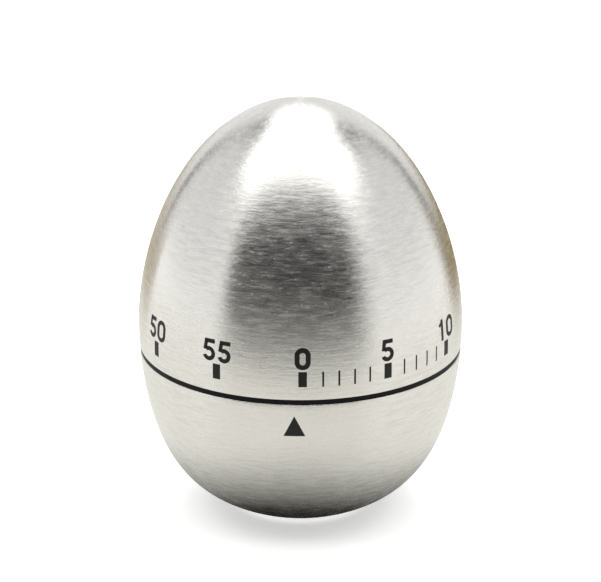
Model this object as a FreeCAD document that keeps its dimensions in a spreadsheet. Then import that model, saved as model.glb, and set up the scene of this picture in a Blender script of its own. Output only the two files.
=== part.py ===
import FreeCAD, Part
import math
import os
import re
import Sketcher
from fcgear import involute, fcgear

# A wind-up kitchen timer shaped like an egg.
# Millimetres, +Z up, origin at the middle of the underside, the dial's pointer on -Y.
# The lower half stands still and holds the movement. The upper half is the dial.

os.makedirs("parts", exist_ok=True)
doc = FreeCAD.newDocument("KitchenTimer")
sheet = doc.addObject("Spreadsheet::Sheet", "Sizes")

SIZES = {
    # egg: its overall size, and the fullness of its outline's curves as shares
    "egg_diameter": 60.0,
    "egg_height": 77.6,
    "seam_height": 31.3,
    "base_radius": 12.0,
    "seam_width_share": 0.9957,
    "shoulder_share": 0.649,
    "shoulder_rise": 0.434,
    "waist_share": 1.045,
    "belly_share": 0.935,
    "belly_rise": 0.2236,
    "heel_share": 0.62,
    "heel_rise": 0.115,
    # shells, housing and seam
    "shell_thickness": 0.5,
    "glue_gap": 0.05,
    "wall_thickness": 1.4,
    "seam_gap": 0.95,
    "seam_recess": 0.15,
    "seam_ring_width": 3.75,
    "seam_clearance": 0.1,
    "shelf_thickness": 2.0,
    "shelf_radius": 16.6,
    # foot and base plate
    "foot_height": 0.5,
    "foot_width": 1.2,
    "foot_margin": 1.6,
    "base_lip": 3.0,
    "base_plate_thickness": 0.9,
    "base_plate_gap": 0.1,
    "base_screw_inset": 2.2,
    "base_screw_radius": 0.5,
    "base_screw_head": 1.0,
    "base_screw_sink": 0.5,
    "base_screw_grip": 1.2,
    # bell
    "bell_height": 7.0,
    "bell_thickness": 0.8,
    "bell_flat": 3.5,
    "bell_shoulder": 0.73,
    "bell_round": 0.3,
    "bell_rim_margin": 0.5,
    "bell_post_height": 2.1,
    "bell_post_radius": 2.5,
    "bell_screw_radius": 1.0,
    "bell_screw_head": 2.2,
    "bell_screw_head_height": 1.0,
    "strike_gap": 0.1,
    # movement plates
    "movement_level": 14.5,
    "plate_radius": 19.4,
    "plate_thickness": 0.8,
    "pillar_radius": 1.2,
    "pillar_circle": 17.5,
    "stud_radius": 0.6,
    "nut_height": 0.8,
    "nut_radius": 1.15,
    "screw_circle": 18.0,
    "screw_radius": 0.6,
    "screw_head": 1.1,
    "screw_head_height": 0.6,
    "screw_grip": 1.6,
    # arbors
    "arbor_radius": 0.4,
    "pivot_radius": 0.25,
    "pivot_proud": 0.2,
    "shake": 0.15,
    "running_clearance": 0.03,
    "main_radius": 1.0,
    "main_pivot_radius": 0.7,
    "dial_arbor_radius": 1.5,
    "dial_arbor_length": 14.7,
    "dial_arbor_flat": 0.45,
    "flat_length": 10.9,
    # time train
    "time_module": 0.25,
    "pinion_leaves": 8,
    "main_teeth": 64,
    "second_teeth": 60,
    "third_teeth": 56,
    "escape_teeth": 15,
    "backlash": 0.04,
    "wheel_thickness": 0.8,
    "wheel_hub": 0.9,
    "wheel_spoke": 0.7,
    "wheel_rim": 0.3,
    "pinion_overlap": 0.2,
    "third_gap": 0.2,
    "second_gap": 0.8,
    "main_gap": 0.6,
    "top_gap": 0.5,
    "escape_wheel_level": 4.7,
    "second_bearing": 90.0,
    "third_bearing": 190.0,
    "escape_bearing": 235.0,
    "pallet_bearing": 260.0,
    # escapement
    "escape_radius": 3.6,
    "tooth_depth": 0.75,
    "tooth_tip": 0.1,
    "tooth_root": 0.6,
    "pin_radius": 0.15,
    "pin_clearance": 0.04,
    "pallet_half_angle": 30.0,
    "lever_gap": 0.4,
    "lever_thickness": 0.6,
    "lever_width": 0.9,
    "balance_level": 7.2,
    "balance_length": 9.2,
    "balance_width": 1.0,
    "balance_weight_radius": 0.85,
    # spring drum and ringing train
    "ring_module": 0.3,
    "drum_teeth": 56,
    "idler_teeth": 40,
    "star_teeth": 12,
    "drum_gap": 0.8,
    "drum_gear_thickness": 1.0,
    "drum_radius": 8.0,
    "drum_wall": 0.7,
    "drum_depth": 5.9,
    "drum_cover_thickness": 0.5,
    "spring_thickness": 0.22,
    "spring_coils": 9,
    "spring_inner_radius": 1.7,
    "spring_end_gap": 0.4,
    "idler_wheel_level": 0.7,
    "idler_bearing": -25.0,
    "star_bearing": -60.0,
    "hammer_bearing": 206.0,
    "star_radius": 3.0,
    "hammer_half_angle": 37.5,
    # hammer
    "hammer_pivot_radius": 0.4,
    "hammer_arbor_radius": 0.55,
    "hammer_swing": 4.0,
    "hammer_arm_length": 10.4,
    "hammer_arm_bearing": 187.0,
    "hammer_arm_width": 1.4,
    "hammer_arm_thickness": 0.6,
    "hammer_arm_drop": 1.0,
    "hammer_head_radius": 0.9,
    "hammer_head_length": 2.6,
    # cam, stop and dial fixing
    "cam_level": 1.0,
    "cam_radius": 6.7,
    "cam_thickness": 1.0,
    "cam_hub_radius": 2.4,
    "cam_hub_height": 2.8,
    "cam_hub_drop": 0.7,
    "notch_width": 4.4,
    "notch_lead": 9.0,
    "notch_depth": 1.1,
    "finger_tip_radius": 0.35,
    "finger_width": 0.8,
    "finger_clearance": 0.1,
    "stop_circle": 5.8,
    "stop_angle": 10.0,
    "stop_clearance": 0.02,
    "stop_bearing": 200.0,
    "clip_groove": 0.3,
    "clip_thickness": 0.5,
    "clip_radius": 2.3,
    "clutch_radius": 3.0,
    "clutch_height": 0.4,
    "clutch_thickness": 0.15,
    "rib_height": 3.7,
    "web_thickness": 1.4,
    "hub_radius": 3.6,
    "hub_gap": 0.4,
    "rib_thickness": 1.2,
}
for row, (alias, number) in enumerate(SIZES.items(), 1):
    sheet.set(f"A{row}", alias.replace("_", " "))
    sheet.set(f"B{row}", str(number))
    sheet.setAlias(f"B{row}", alias)
doc.recompute()

# Sizes that follow from the ones above, by name.
FOLLOWS = {
    "seam_radius": "egg_diameter / 2 * seam_width_share",
    "upper_rim": "seam_height + seam_gap / 2",
    "lower_rim": "seam_height - seam_gap / 2",
    "base_hole": "base_radius - base_lip",
    "base_screw_circle": "base_hole - base_screw_inset",
    "floor_level": "foot_height + shell_thickness",
    "floor_top": "floor_level + wall_thickness",
    "bell_level": "floor_top + bell_post_height",
    "plate_top": "movement_level + plate_thickness",
    "drum_level": "idler_wheel_level + wheel_thickness + drum_gap",
    "drum_top": "drum_level + drum_gear_thickness + drum_depth + drum_cover_thickness",
    "third_wheel_level": "drum_top + third_gap",
    "second_wheel_level": "third_wheel_level + wheel_thickness + second_gap",
    "main_wheel_level": "second_wheel_level + wheel_thickness + main_gap",
    "plate_spacing": "main_wheel_level + wheel_thickness + top_gap",
    "top_plate_level": "plate_top + plate_spacing",
    "top_plate_top": "top_plate_level + plate_thickness",
    "cam_bottom": "top_plate_top + cam_level",
    "hub_level": "cam_bottom - cam_hub_drop + cam_hub_height + clip_thickness + hub_gap",
    "web_level": "hub_level + rib_height",
    "arbor_top": "top_plate_top + dial_arbor_length",
    "second_distance": "time_module * (main_teeth + pinion_leaves) / 2 + backlash",
    "third_distance": "time_module * (second_teeth + pinion_leaves) / 2 + backlash",
    "escape_distance": "time_module * (third_teeth + pinion_leaves) / 2 + backlash",
    "idler_distance": "ring_module * (drum_teeth + pinion_leaves) / 2 + backlash",
    "star_distance": "time_module * (idler_teeth + pinion_leaves) / 2 + backlash",
    "pallet_pin_circle": "escape_radius + pin_radius + pin_clearance",
    "pallet_distance": "pallet_pin_circle / cos(pallet_half_angle)",
    "pallet_reach": "pallet_pin_circle * tan(pallet_half_angle)",
    "hammer_pin_circle": "star_radius + pin_radius + pin_clearance",
    "hammer_distance": "hammer_pin_circle / cos(hammer_half_angle)",
    "hammer_reach": "hammer_pin_circle * tan(hammer_half_angle)",
    "second_x": "second_distance * cos(second_bearing)",
    "second_y": "second_distance * sin(second_bearing)",
    "third_x": "second_x + third_distance * cos(third_bearing)",
    "third_y": "second_y + third_distance * sin(third_bearing)",
    "escape_x": "third_x + escape_distance * cos(escape_bearing)",
    "escape_y": "third_y + escape_distance * sin(escape_bearing)",
    "balance_x": "escape_x + pallet_distance * cos(pallet_bearing)",
    "balance_y": "escape_y + pallet_distance * sin(pallet_bearing)",
    "idler_x": "idler_distance * cos(idler_bearing)",
    "idler_y": "idler_distance * sin(idler_bearing)",
    "star_x": "idler_x + star_distance * cos(star_bearing)",
    "star_y": "idler_y + star_distance * sin(star_bearing)",
    "hammer_x": "star_x + hammer_distance * cos(hammer_bearing)",
    "hammer_y": "star_y + hammer_distance * sin(hammer_bearing)",
    "hammer_circle": "sqrt(hammer_x ^ 2 + hammer_y ^ 2)",
    "strike_x": "hammer_x + hammer_arm_length * cos(hammer_arm_bearing + hammer_swing)",
    "strike_y": "hammer_y + hammer_arm_length * sin(hammer_arm_bearing + hammer_swing)",
    "strike_circle": "sqrt(strike_x ^ 2 + strike_y ^ 2)",
    "bell_bore": "strike_circle + hammer_head_radius + strike_gap",
    "bell_radius": "bell_bore + bell_thickness",
    "arm_level": "movement_level - hammer_arm_drop - hammer_arm_thickness",
    "bell_top": "bell_level + bell_height",
    "bell_inside": "bell_level + bell_thickness",
    "bell_turn": "arm_level - hammer_head_length - bell_rim_margin",
    "tip_circle": "cam_radius + finger_clearance + finger_tip_radius",
    "finger_length": "sqrt(hammer_circle ^ 2 - tip_circle ^ 2)",
    "finger_bearing": "180 + (atan(hammer_y / hammer_x) - asin(tip_circle / hammer_circle)) / (1 deg)",
    "tip_bearing": "finger_bearing - 90",
    "stop_pin_radius": "stop_circle * sin(stop_angle / 4) - stop_clearance / 2",
}


def terms(text):
    """Spell a sum of named sizes out in the sheet's own cells."""
    while re.search(r"\b(" + "|".join(FOLLOWS) + r")\b", text):
        text = re.sub(r"\b(" + "|".join(FOLLOWS) + r")\b", lambda m: f"({FOLLOWS[m[1]]})", text)
    return re.sub(r"\b(" + "|".join(SIZES) + r")\b", r"Sizes.\1", text)


def value(text):
    """The number that a sum of named sizes comes to."""
    return float(sheet.evalExpression(terms(text)))


def bind(thing, **sums):
    """Bind properties of an object to sums of named sizes."""
    for name, text in sums.items():
        thing.setExpression(name.replace("__", "."), terms(text))
    return thing


def place(thing, x="0", y="0", z="0", turn=None):
    """Put an object at x, y, z, turned about Z."""
    bind(thing, Placement__Base__x=x, Placement__Base__y=y, Placement__Base__z=z)
    if turn is not None:
        thing.Placement.Rotation = FreeCAD.Rotation(FreeCAD.Vector(0, 0, 1), 1)
        bind(thing, Placement__Rotation__Angle=turn)
    return thing


def cylinder(radius, height, x="0", y="0", z="0", name="Round"):
    """An upright cylinder."""
    thing = doc.addObject("Part::Cylinder", name)
    bind(thing, Radius=radius, Height=height)
    return place(thing, x, y, z)


def box(length, width, height, x="0", y="0", z="0", turn="0", start="0", name="Bar"):
    """A box that runs outwards from x, y along a bearing, centred on its width."""
    thing = doc.addObject("Part::Box", name)
    bind(thing, Length=length, Width=width, Height=height)
    out = f"({start}) * cos({turn}) + ({width}) / 2 * sin({turn})"
    aside = f"({start}) * sin({turn}) - ({width}) / 2 * cos({turn})"
    return place(thing, f"{x} + {out}", f"{y} + {aside}", z, turn)


def fuse(label, *shapes):
    """Join shapes into one piece."""
    thing = doc.addObject("Part::MultiFuse", label)
    thing.Label = label
    thing.Shapes = list(shapes)
    thing.Refine = True
    return thing


def group(label, *shapes):
    """Separate solids that share one node."""
    thing = doc.addObject("Part::Compound", label)
    thing.Label = label
    thing.Links = list(shapes)
    return thing


def cut(label, base, *tools):
    """Take the tools out of the base."""
    tool = tools[0] if len(tools) == 1 else fuse(label + "_tools", *tools)
    thing = doc.addObject("Part::Cut", label)
    thing.Label = label
    thing.Base = base
    thing.Tool = tool
    thing.Refine = True
    return thing


def common(label, base, tool):
    """What two shapes share."""
    thing = doc.addObject("Part::Common", label)
    thing.Label = label
    thing.Base = base
    thing.Tool = tool
    return thing


def turned(label, start, *steps):
    """Turn a closed outline of (radius, level) sums about Z. A step is a point or a curve's 3 poles."""
    body = doc.addObject("PartDesign::Body", label)
    body.Label = label
    sketch = body.newObject("Sketcher::SketchObject", label + "_outline")
    upright = [f for f in body.Origin.OriginFeatures if f.Role == "XZ_Plane"][0]
    sketch.AttachmentSupport = [(upright, "")]
    sketch.MapMode = "FlatFace"

    def spot(pair):
        return FreeCAD.Vector(value(pair[0]), value(pair[1]), 0)

    def pin(item, end, pair):
        for kind, text, number in (
            ("DistanceX", pair[0], value(pair[0])),
            ("DistanceY", pair[1], value(pair[1])),
        ):
            if kind == "DistanceX" and text == "0":
                sketch.addConstraint(Sketcher.Constraint("PointOnObject", item, end, -2))
                continue
            index = sketch.addConstraint(Sketcher.Constraint(kind, -1, 1, item, end, number))
            sketch.setExpression(f"Constraints[{index}]", terms(text))

    edges = []
    here = start
    for step in list(steps) + [start]:
        poles = [here, *step] if isinstance(step[0], tuple) else [here, step]
        points = [spot(p) for p in poles]
        if len(poles) == 2:
            edges.append(sketch.addGeometry(Part.LineSegment(*points), False))
            pin(edges[-1], 1, here)
        else:
            curve = Part.BSplineCurve(points, [4, 4], [0, 1], False, 3, None, False)
            edges.append(sketch.addGeometry(curve, False))
            for number, (pole, point) in enumerate(zip(poles, points)):
                ring = sketch.addGeometry(Part.Circle(point, FreeCAD.Vector(0, 0, 1), 1), True)
                sketch.addConstraint(
                    Sketcher.Constraint(
                        "InternalAlignment:Sketcher::BSplineControlPoint", ring, 3, edges[-1], number
                    )
                )
                sketch.addConstraint(Sketcher.Constraint("Weight", ring, 1.0))
                if number < 3:
                    pin(ring, 3, pole)
        here = poles[-1]
    for first, second in zip(edges, edges[1:] + edges[:1]):
        sketch.addConstraint(Sketcher.Constraint("Coincident", first, 2, second, 1))
    turn = body.newObject("PartDesign::Revolution", label + "_turn")
    turn.Profile = sketch
    turn.ReferenceAxis = (sketch, ["V_Axis"])
    turn.Angle = 360
    return body


def upper_curve(depth):
    """Poles of the dial's outline, the given depth under its surface, from the rim to the top."""
    return (
        (f"seam_radius - ({depth})", "upper_rim"),
        (
            f"egg_diameter / 2 * waist_share - ({depth})",
            "seam_height + (egg_height - seam_height) * shoulder_rise",
        ),
        (f"egg_diameter / 2 * shoulder_share - 0.6 * ({depth})", f"egg_height - ({depth})"),
        ("0", f"egg_height - ({depth})"),
    )


def lower_curve(depth, floor):
    """Poles of the lower half's outline, from the rim to its flat floor."""
    return (
        (f"seam_radius - ({depth})", "lower_rim"),
        (f"egg_diameter / 2 * belly_share - ({depth})", f"seam_height * belly_rise + 0.3 * ({depth})"),
        (f"egg_diameter / 2 * heel_share - 0.5 * ({depth})", f"seam_height * heel_rise + 0.9 * ({depth})"),
        (f"base_radius - 0.3 * ({depth})", floor),
    )


def ring(label, outer, inner, height, x="0", y="0", z="0"):
    """A flat ring or washer."""
    return cut(label, cylinder(outer, height, x, y, z), cylinder(inner, height, x, y, z))


def arbor(label, x, y, low="movement_level - pivot_proud", high="top_plate_top + pivot_proud",
          thick="arbor_radius", thin="pivot_radius"):
    """A steel arbor between the plates with a thinner pivot at each end."""
    pivots = cylinder(thin, f"{high} - ({low})", x, y, low)
    middle = cylinder(thick, "plate_spacing - 2 * shake", x, y, "plate_top + shake")
    return fuse(label, pivots, middle)


def toothed(module, teeth, shift, thickness):
    """A solid disc with involute teeth, its first tooth on +X."""
    builder = fcgear.FCWireBuilder()
    involute.CreateExternalGear(
        builder, module, teeth, 20, split=False, addCoeff=0.95, dedCoeff=1.25, filletCoeff=0.0,
        shiftCoeff=shift,
    )
    outline = Part.Wire([edge.toShape() for edge in builder.wire])
    return Part.Face(outline).extrude(FreeCAD.Vector(0, 0, thickness))


def pointed(teeth, radius, thickness):
    """An escape wheel's disc: straight-sided teeth with narrow tips, the first on +X."""
    root = radius - value("tooth_depth")
    points = []
    for number in range(teeth):
        middle = 2 * math.pi * number / teeth
        for reach, aside in (
            (root, -value("tooth_root") / 2),
            (radius, -value("tooth_tip") / 2),
            (radius, value("tooth_tip") / 2),
            (root, value("tooth_root") / 2),
        ):
            angle = middle + aside / reach
            points.append(FreeCAD.Vector(reach * math.cos(angle), reach * math.sin(angle), 0))
    return Part.Face(Part.makePolygon(points + points[:1])).extrude(FreeCAD.Vector(0, 0, thickness))


def wheel(label, blank, thickness, bore, windows, rim, x, y, z, phase):
    """A wheel or pinion: the toothed blank with its bore and, between hub and rim, round windows."""
    shape = blank.cut(Part.makeCylinder(bore, thickness))
    if windows:
        hub = bore + value("wheel_hub")
        size = min((rim - hub) / 2, (rim + hub) / 2 * math.sin(math.pi / windows) - value("wheel_spoke") / 2)
        for number in range(windows):
            angle = math.radians(360 / windows * (number + 0.5))
            middle = FreeCAD.Vector(math.cos(angle), math.sin(angle), 0) * ((rim + hub) / 2)
            shape = shape.cut(Part.makeCylinder(size, thickness, middle))
    thing = doc.addObject("Part::Feature", label)
    thing.Label = label
    thing.Shape = shape
    return place(thing, x, y, z, repr(phase))


def meshed(bearing, teeth, phase, follower_teeth):
    """Phase that sets a follower's gap on the driver's tooth, along the line of centres, in degrees."""
    share = ((bearing - phase) * teeth / 360) % 1
    return bearing + 180 - (0.5 - share) * 360 / follower_teeth


# --- lower half ---

outer = lower_curve("0", "foot_height")
inner = lower_curve("shell_thickness", "floor_level")
lower_shell = turned(
    "lower_shell", outer[0], outer[1:], ("base_hole", "foot_height"), ("base_hole", "floor_level"),
    inner[3], inner[2::-1],
)

outer = lower_curve("shell_thickness + glue_gap", "floor_level")
inner = lower_curve("shell_thickness + glue_gap + wall_thickness", "floor_top")
housing_wall = turned(
    "housing_wall", outer[0], outer[1:], ("0", "floor_level"), ("0", "bell_level"),
    ("bell_post_radius", "bell_level"), ("bell_post_radius", "floor_top"), inner[3], inner[2::-1],
)
middle = lower_curve("shell_thickness + glue_gap + wall_thickness / 2", "floor_level + wall_thickness / 2")
housing_fill = turned(
    "housing_fill", middle[0], middle[1:], ("0", "floor_level + wall_thickness / 2"), ("0", "lower_rim"),
)
shelf_blank = ring(
    "shelf_blank", "egg_diameter / 2", "shelf_radius", "shelf_thickness",
    z="movement_level - shelf_thickness",
)
shelf = common("shelf", shelf_blank, housing_fill)

PILLARS = (30, 165, 255)
SCREWS = (75, 210, 315)
BASE_SCREWS = (90, 210, 330)


def around(circle, bearing):
    """The x and y sums of a spot on a circle."""
    return f"({circle}) * cos({bearing})", f"({circle}) * sin({bearing})"


shelf_holes = [
    cylinder("screw_radius", "screw_grip", *around("screw_circle", a), "movement_level - screw_grip")
    for a in SCREWS
]
floor_holes = [
    cylinder("base_screw_radius", "base_screw_grip", *around("base_screw_circle", a), "floor_level")
    for a in BASE_SCREWS
]
post_hole = cylinder("bell_screw_radius", "bell_post_height", z="bell_level - bell_post_height")
lower_housing = cut(
    "lower_housing", fuse("housing_body", housing_wall, shelf), post_hole, *shelf_holes, *floor_holes
)

seam_ring = ring(
    "seam_ring", "seam_radius - seam_recess", "seam_radius - seam_recess - seam_ring_width",
    "seam_gap - seam_clearance", z="lower_rim",
)
foot_ring = ring(
    "foot_ring", "base_radius - foot_margin", "base_radius - foot_margin - foot_width", "foot_height"
)

base_disc = cylinder(
    "base_hole - base_plate_gap", "base_plate_thickness", z="floor_level - base_plate_thickness"
)
base_holes = []
screw_parts = []
for bearing in BASE_SCREWS:
    x, y = around("base_screw_circle", bearing)
    base_holes.append(cylinder("base_screw_radius", "base_plate_thickness", x, y,
                               "floor_level - base_plate_thickness"))
    base_holes.append(cylinder("base_screw_head", "base_screw_sink", x, y,
                               "floor_level - base_plate_thickness"))
    screw_parts.append(fuse(
        f"base_screw_{bearing}",
        cylinder("base_screw_head - running_clearance", "base_screw_sink - running_clearance", x, y,
                 "floor_level - base_plate_thickness + running_clearance"),
        cylinder("base_screw_radius", "base_plate_thickness - base_screw_sink + base_screw_grip", x, y,
                 "floor_level - base_plate_thickness + base_screw_sink"),
    ))
base_plate = cut("base_plate", base_disc, *base_holes)
base_screws = group("base_screws", *screw_parts)

# --- bell ---

bell_cup = turned(
    "bell_cup", ("0", "bell_level"), ("bell_flat", "bell_level"),
    (("bell_shoulder * bell_radius", "bell_level"),
     ("bell_radius", "bell_level + bell_round * (bell_turn - bell_level)"),
     ("bell_radius", "bell_turn")),
    ("bell_radius", "bell_top"), ("bell_bore", "bell_top"), ("bell_bore", "bell_turn"),
    (("bell_bore", "bell_inside + bell_round * (bell_turn - bell_inside)"),
     ("bell_shoulder * bell_bore", "bell_inside"), ("bell_flat", "bell_inside")),
    ("0", "bell_inside"),
)
bell = cut("bell", bell_cup, cylinder("bell_screw_radius", "bell_thickness", z="bell_level"))
bell_screw = fuse(
    "bell_screw",
    cylinder("bell_screw_head", "bell_screw_head_height", z="bell_inside"),
    cylinder("bell_screw_radius", "bell_thickness + bell_post_height", z="bell_level - bell_post_height"),
)

# --- movement frame ---

PIVOTS = ("second", "third", "escape", "balance", "idler", "star")


def plate(label, level, centre_bore, studs, extra=()):
    """A round movement plate with its pivot, pillar and screw holes."""
    holes = [cylinder(centre_bore, "plate_thickness", z=level)]
    for name in PIVOTS:
        holes.append(cylinder("pivot_radius + running_clearance", "plate_thickness",
                              name + "_x", name + "_y", level))
    holes.append(cylinder("hammer_pivot_radius + running_clearance", "plate_thickness",
                          "hammer_x", "hammer_y", level))
    for bearing in PILLARS:
        holes.append(cylinder(studs, "plate_thickness", *around("pillar_circle", bearing), level))
    for circle, bearing, radius in extra:
        holes.append(cylinder(radius, "plate_thickness", *around(circle, bearing), level))
    return cut(label, cylinder("plate_radius", "plate_thickness", z=level), *holes)


bottom_plate = plate(
    "bottom_plate", "movement_level", "main_pivot_radius + running_clearance", "stud_radius",
    [("screw_circle", bearing, "screw_radius") for bearing in SCREWS],
)
top_plate = plate(
    "top_plate", "top_plate_level", "dial_arbor_radius + running_clearance", "stud_radius",
    [("stop_circle", "stop_bearing", "stop_pin_radius")],
)
pillars = []
nuts = []
screws = []
for bearing in PILLARS:
    x, y = around("pillar_circle", bearing)
    pillars.append(fuse(
        f"pillar_{bearing}",
        cylinder("pillar_radius", "plate_spacing", x, y, "plate_top"),
        cylinder("stud_radius", "plate_spacing + 2 * plate_thickness + nut_height", x, y,
                 "movement_level"),
    ))
    hexagon = doc.addObject("Part::Prism", f"nut_{bearing}")
    hexagon.Polygon = 6
    bind(hexagon, Circumradius="nut_radius", Height="nut_height")
    place(hexagon, x, y, "top_plate_top")
    nuts.append(cut(f"plate_nut_{bearing}", hexagon,
                    cylinder("stud_radius", "nut_height", x, y, "top_plate_top")))
for bearing in SCREWS:
    x, y = around("screw_circle", bearing)
    screws.append(fuse(
        f"movement_screw_{bearing}",
        cylinder("screw_head", "screw_head_height", x, y, "plate_top"),
        cylinder("screw_radius", "plate_thickness + screw_grip", x, y, "movement_level - screw_grip"),
    ))
plate_pillars = group("plate_pillars", *pillars)
plate_nuts = group("plate_nuts", *nuts)
movement_screws = group("movement_screws", *screws)
stop_post = cylinder(
    "stop_pin_radius", "plate_thickness + cam_level - running_clearance",
    *around("stop_circle", "stop_bearing"), "top_plate_level", "stop_post",
)
stop_post.Label = "stop_post"

# --- dial ---

outer = upper_curve("0")
inner = upper_curve("shell_thickness")
upper_shell = turned("upper_shell", outer[0], outer[1:], inner[3], inner[2::-1])

outer = upper_curve("shell_thickness + glue_gap")
inner = upper_curve("shell_thickness + glue_gap + wall_thickness")
liner_wall = turned("liner_wall", outer[0], outer[1:], inner[3], inner[2::-1])
middle = upper_curve("shell_thickness + glue_gap + wall_thickness / 2")
liner_fill = turned("liner_fill", middle[0], middle[1:], ("0", "upper_rim"))
ribs = [
    box("egg_diameter", "rib_thickness", "rib_height", z="hub_level", turn=str(bearing),
        start="-egg_diameter / 2")
    for bearing in (0, 60, 120)
]
web = cylinder("egg_diameter / 2", "web_thickness", z="web_level")
liner_web = common("liner_web", fuse("web_blank", web, *ribs), liner_fill)
liner_hub = cylinder("hub_radius", "arbor_top - hub_level", z="hub_level")


def flatted_arbor(label):
    """The end of the dial arbor: a round bar with one flat."""
    bar = cylinder("dial_arbor_radius", "flat_length", z="arbor_top - flat_length")
    waste = box("dial_arbor_radius", "2 * dial_arbor_radius", "flat_length", z="arbor_top - flat_length",
                start="dial_arbor_radius - dial_arbor_flat")
    return cut(label, bar, waste)


upper_liner = cut(
    "upper_liner", fuse("liner_body", liner_wall, liner_web, liner_hub), flatted_arbor("liner_bore")
)

clip_level = "cam_bottom - cam_hub_drop + cam_hub_height"
arbor_core = fuse(
    "arbor_core",
    cylinder("main_pivot_radius", "plate_thickness + pivot_proud + shake", z="movement_level - pivot_proud"),
    cylinder("main_radius", "plate_spacing - shake", z="plate_top + shake"),
    cylinder("dial_arbor_radius", "dial_arbor_length - flat_length + plate_thickness",
             z="top_plate_level"),
    flatted_arbor("arbor_end"),
)
main_arbor = cut(
    "main_arbor", arbor_core,
    ring("clip_seat", "dial_arbor_radius + 1", "dial_arbor_radius - clip_groove", "clip_thickness",
         z=clip_level),
)
clip_gap = box("clip_radius", "1.6 * (dial_arbor_radius - clip_groove)", "clip_thickness", z=clip_level)
arbor_circlip = cut(
    "arbor_circlip",
    ring("clip_ring", "clip_radius", "dial_arbor_radius - clip_groove", "clip_thickness", z=clip_level),
    clip_gap,
)

cam_blank = fuse(
    "cam_blank",
    cylinder("cam_radius", "cam_thickness", z="cam_bottom"),
    cylinder("cam_hub_radius", "cam_hub_height", z="cam_bottom - cam_hub_drop"),
)
cam_disc = cut(
    "cam_disc", cam_blank,
    cylinder("dial_arbor_radius", "cam_hub_height", z="cam_bottom - cam_hub_drop"),
    box("2 * notch_depth", "notch_width", "cam_thickness", z="cam_bottom",
        turn="(tip_bearing - stop_angle / 2 - notch_lead)", start="cam_radius - notch_depth"),
    cylinder("stop_pin_radius", "cam_thickness", *around("stop_circle", "stop_bearing - stop_angle / 2"),
             "cam_bottom"),
)
stop_pin = cylinder(
    "stop_pin_radius", "cam_thickness + cam_level - running_clearance",
    *around("stop_circle", "stop_bearing - stop_angle / 2"), "top_plate_top + running_clearance",
    "stop_pin",
)
stop_pin.Label = "stop_pin"

clutch_spring = turned(
    "clutch_spring",
    ("main_radius", "plate_top + main_wheel_level - clutch_height"),
    ("clutch_radius", "plate_top + main_wheel_level - clutch_thickness"),
    ("clutch_radius", "plate_top + main_wheel_level"),
    ("main_radius", "plate_top + main_wheel_level - clutch_height + clutch_thickness"),
)

# --- wheels and pinions ---

LEAVES = int(value("pinion_leaves"))


def train_wheel(label, module, teeth_name, x, y, level, phase, bore="arbor_radius", windows=5):
    """A large brass wheel of the train."""
    teeth = int(value(teeth_name))
    thickness = value("wheel_thickness")
    blank = toothed(value(module), teeth, -0.5, thickness)
    rim = value(module) * (teeth / 2 - 3.2)
    return wheel(label, blank, thickness, value(bore), windows, rim, x, y, "plate_top + " + level, phase)


def train_pinion(label, module, x, y, level, thickness_name, phase):
    """A steel pinion that spans the wheel it meshes with."""
    thickness = value(thickness_name) + 2 * value("pinion_overlap")
    blank = toothed(value(module), LEAVES, 0.5, thickness)
    return wheel(label, blank, thickness, value("arbor_radius"), 0, 0, x, y,
                 f"plate_top + {level} - pinion_overlap", phase)


main_phase = 0.0
second_phase = meshed(value("second_bearing"), value("main_teeth"), main_phase, LEAVES)
third_phase = meshed(value("third_bearing"), value("second_teeth"), second_phase, LEAVES)
escape_phase = meshed(value("escape_bearing"), value("third_teeth"), third_phase, LEAVES)
idler_phase = meshed(value("idler_bearing"), value("drum_teeth"), 0.0, LEAVES)
star_phase = meshed(value("star_bearing"), value("idler_teeth"), idler_phase, LEAVES)

main_wheel = train_wheel("main_wheel", "time_module", "main_teeth", "0", "0", "main_wheel_level",
                         main_phase, "main_radius")
second_arbor = arbor("second_arbor", "second_x", "second_y")
second_pinion = train_pinion("second_pinion", "time_module", "second_x", "second_y",
                             "main_wheel_level", "wheel_thickness", second_phase)
second_wheel = train_wheel("second_wheel", "time_module", "second_teeth", "second_x", "second_y",
                           "second_wheel_level", second_phase)
third_arbor = arbor("third_arbor", "third_x", "third_y")
third_pinion = train_pinion("third_pinion", "time_module", "third_x", "third_y",
                            "second_wheel_level", "wheel_thickness", third_phase)
third_wheel = train_wheel("third_wheel", "time_module", "third_teeth", "third_x", "third_y",
                          "third_wheel_level", third_phase)
escape_arbor = arbor("escape_arbor", "escape_x", "escape_y")
escape_pinion = train_pinion("escape_pinion", "time_module", "escape_x", "escape_y",
                             "third_wheel_level", "wheel_thickness", escape_phase)
wheel_height = value("wheel_thickness")
escape_wheel = wheel(
    "escape_wheel", pointed(int(value("escape_teeth")), value("escape_radius"), wheel_height),
    wheel_height, value("arbor_radius"), 4, value("escape_radius - tooth_depth - wheel_rim"),
    "escape_x", "escape_y", "plate_top + escape_wheel_level", value("pallet_bearing"),
)

idler_arbor = arbor("idler_arbor", "idler_x", "idler_y")
idler_pinion = train_pinion("idler_pinion", "ring_module", "idler_x", "idler_y", "drum_level",
                            "drum_gear_thickness", idler_phase)
idler_wheel = train_wheel("idler_wheel", "time_module", "idler_teeth", "idler_x", "idler_y",
                          "idler_wheel_level", idler_phase)
star_arbor = arbor("star_arbor", "star_x", "star_y")
star_pinion = train_pinion("star_pinion", "time_module", "star_x", "star_y", "idler_wheel_level",
                           "wheel_thickness", star_phase)
star_wheel = wheel(
    "star_wheel", pointed(int(value("star_teeth")), value("star_radius"), wheel_height),
    wheel_height, value("arbor_radius"), 0, 0,
    "star_x", "star_y", "plate_top + escape_wheel_level", value("hammer_bearing"),
)

# --- pallets, balance and hammer ---


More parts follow.
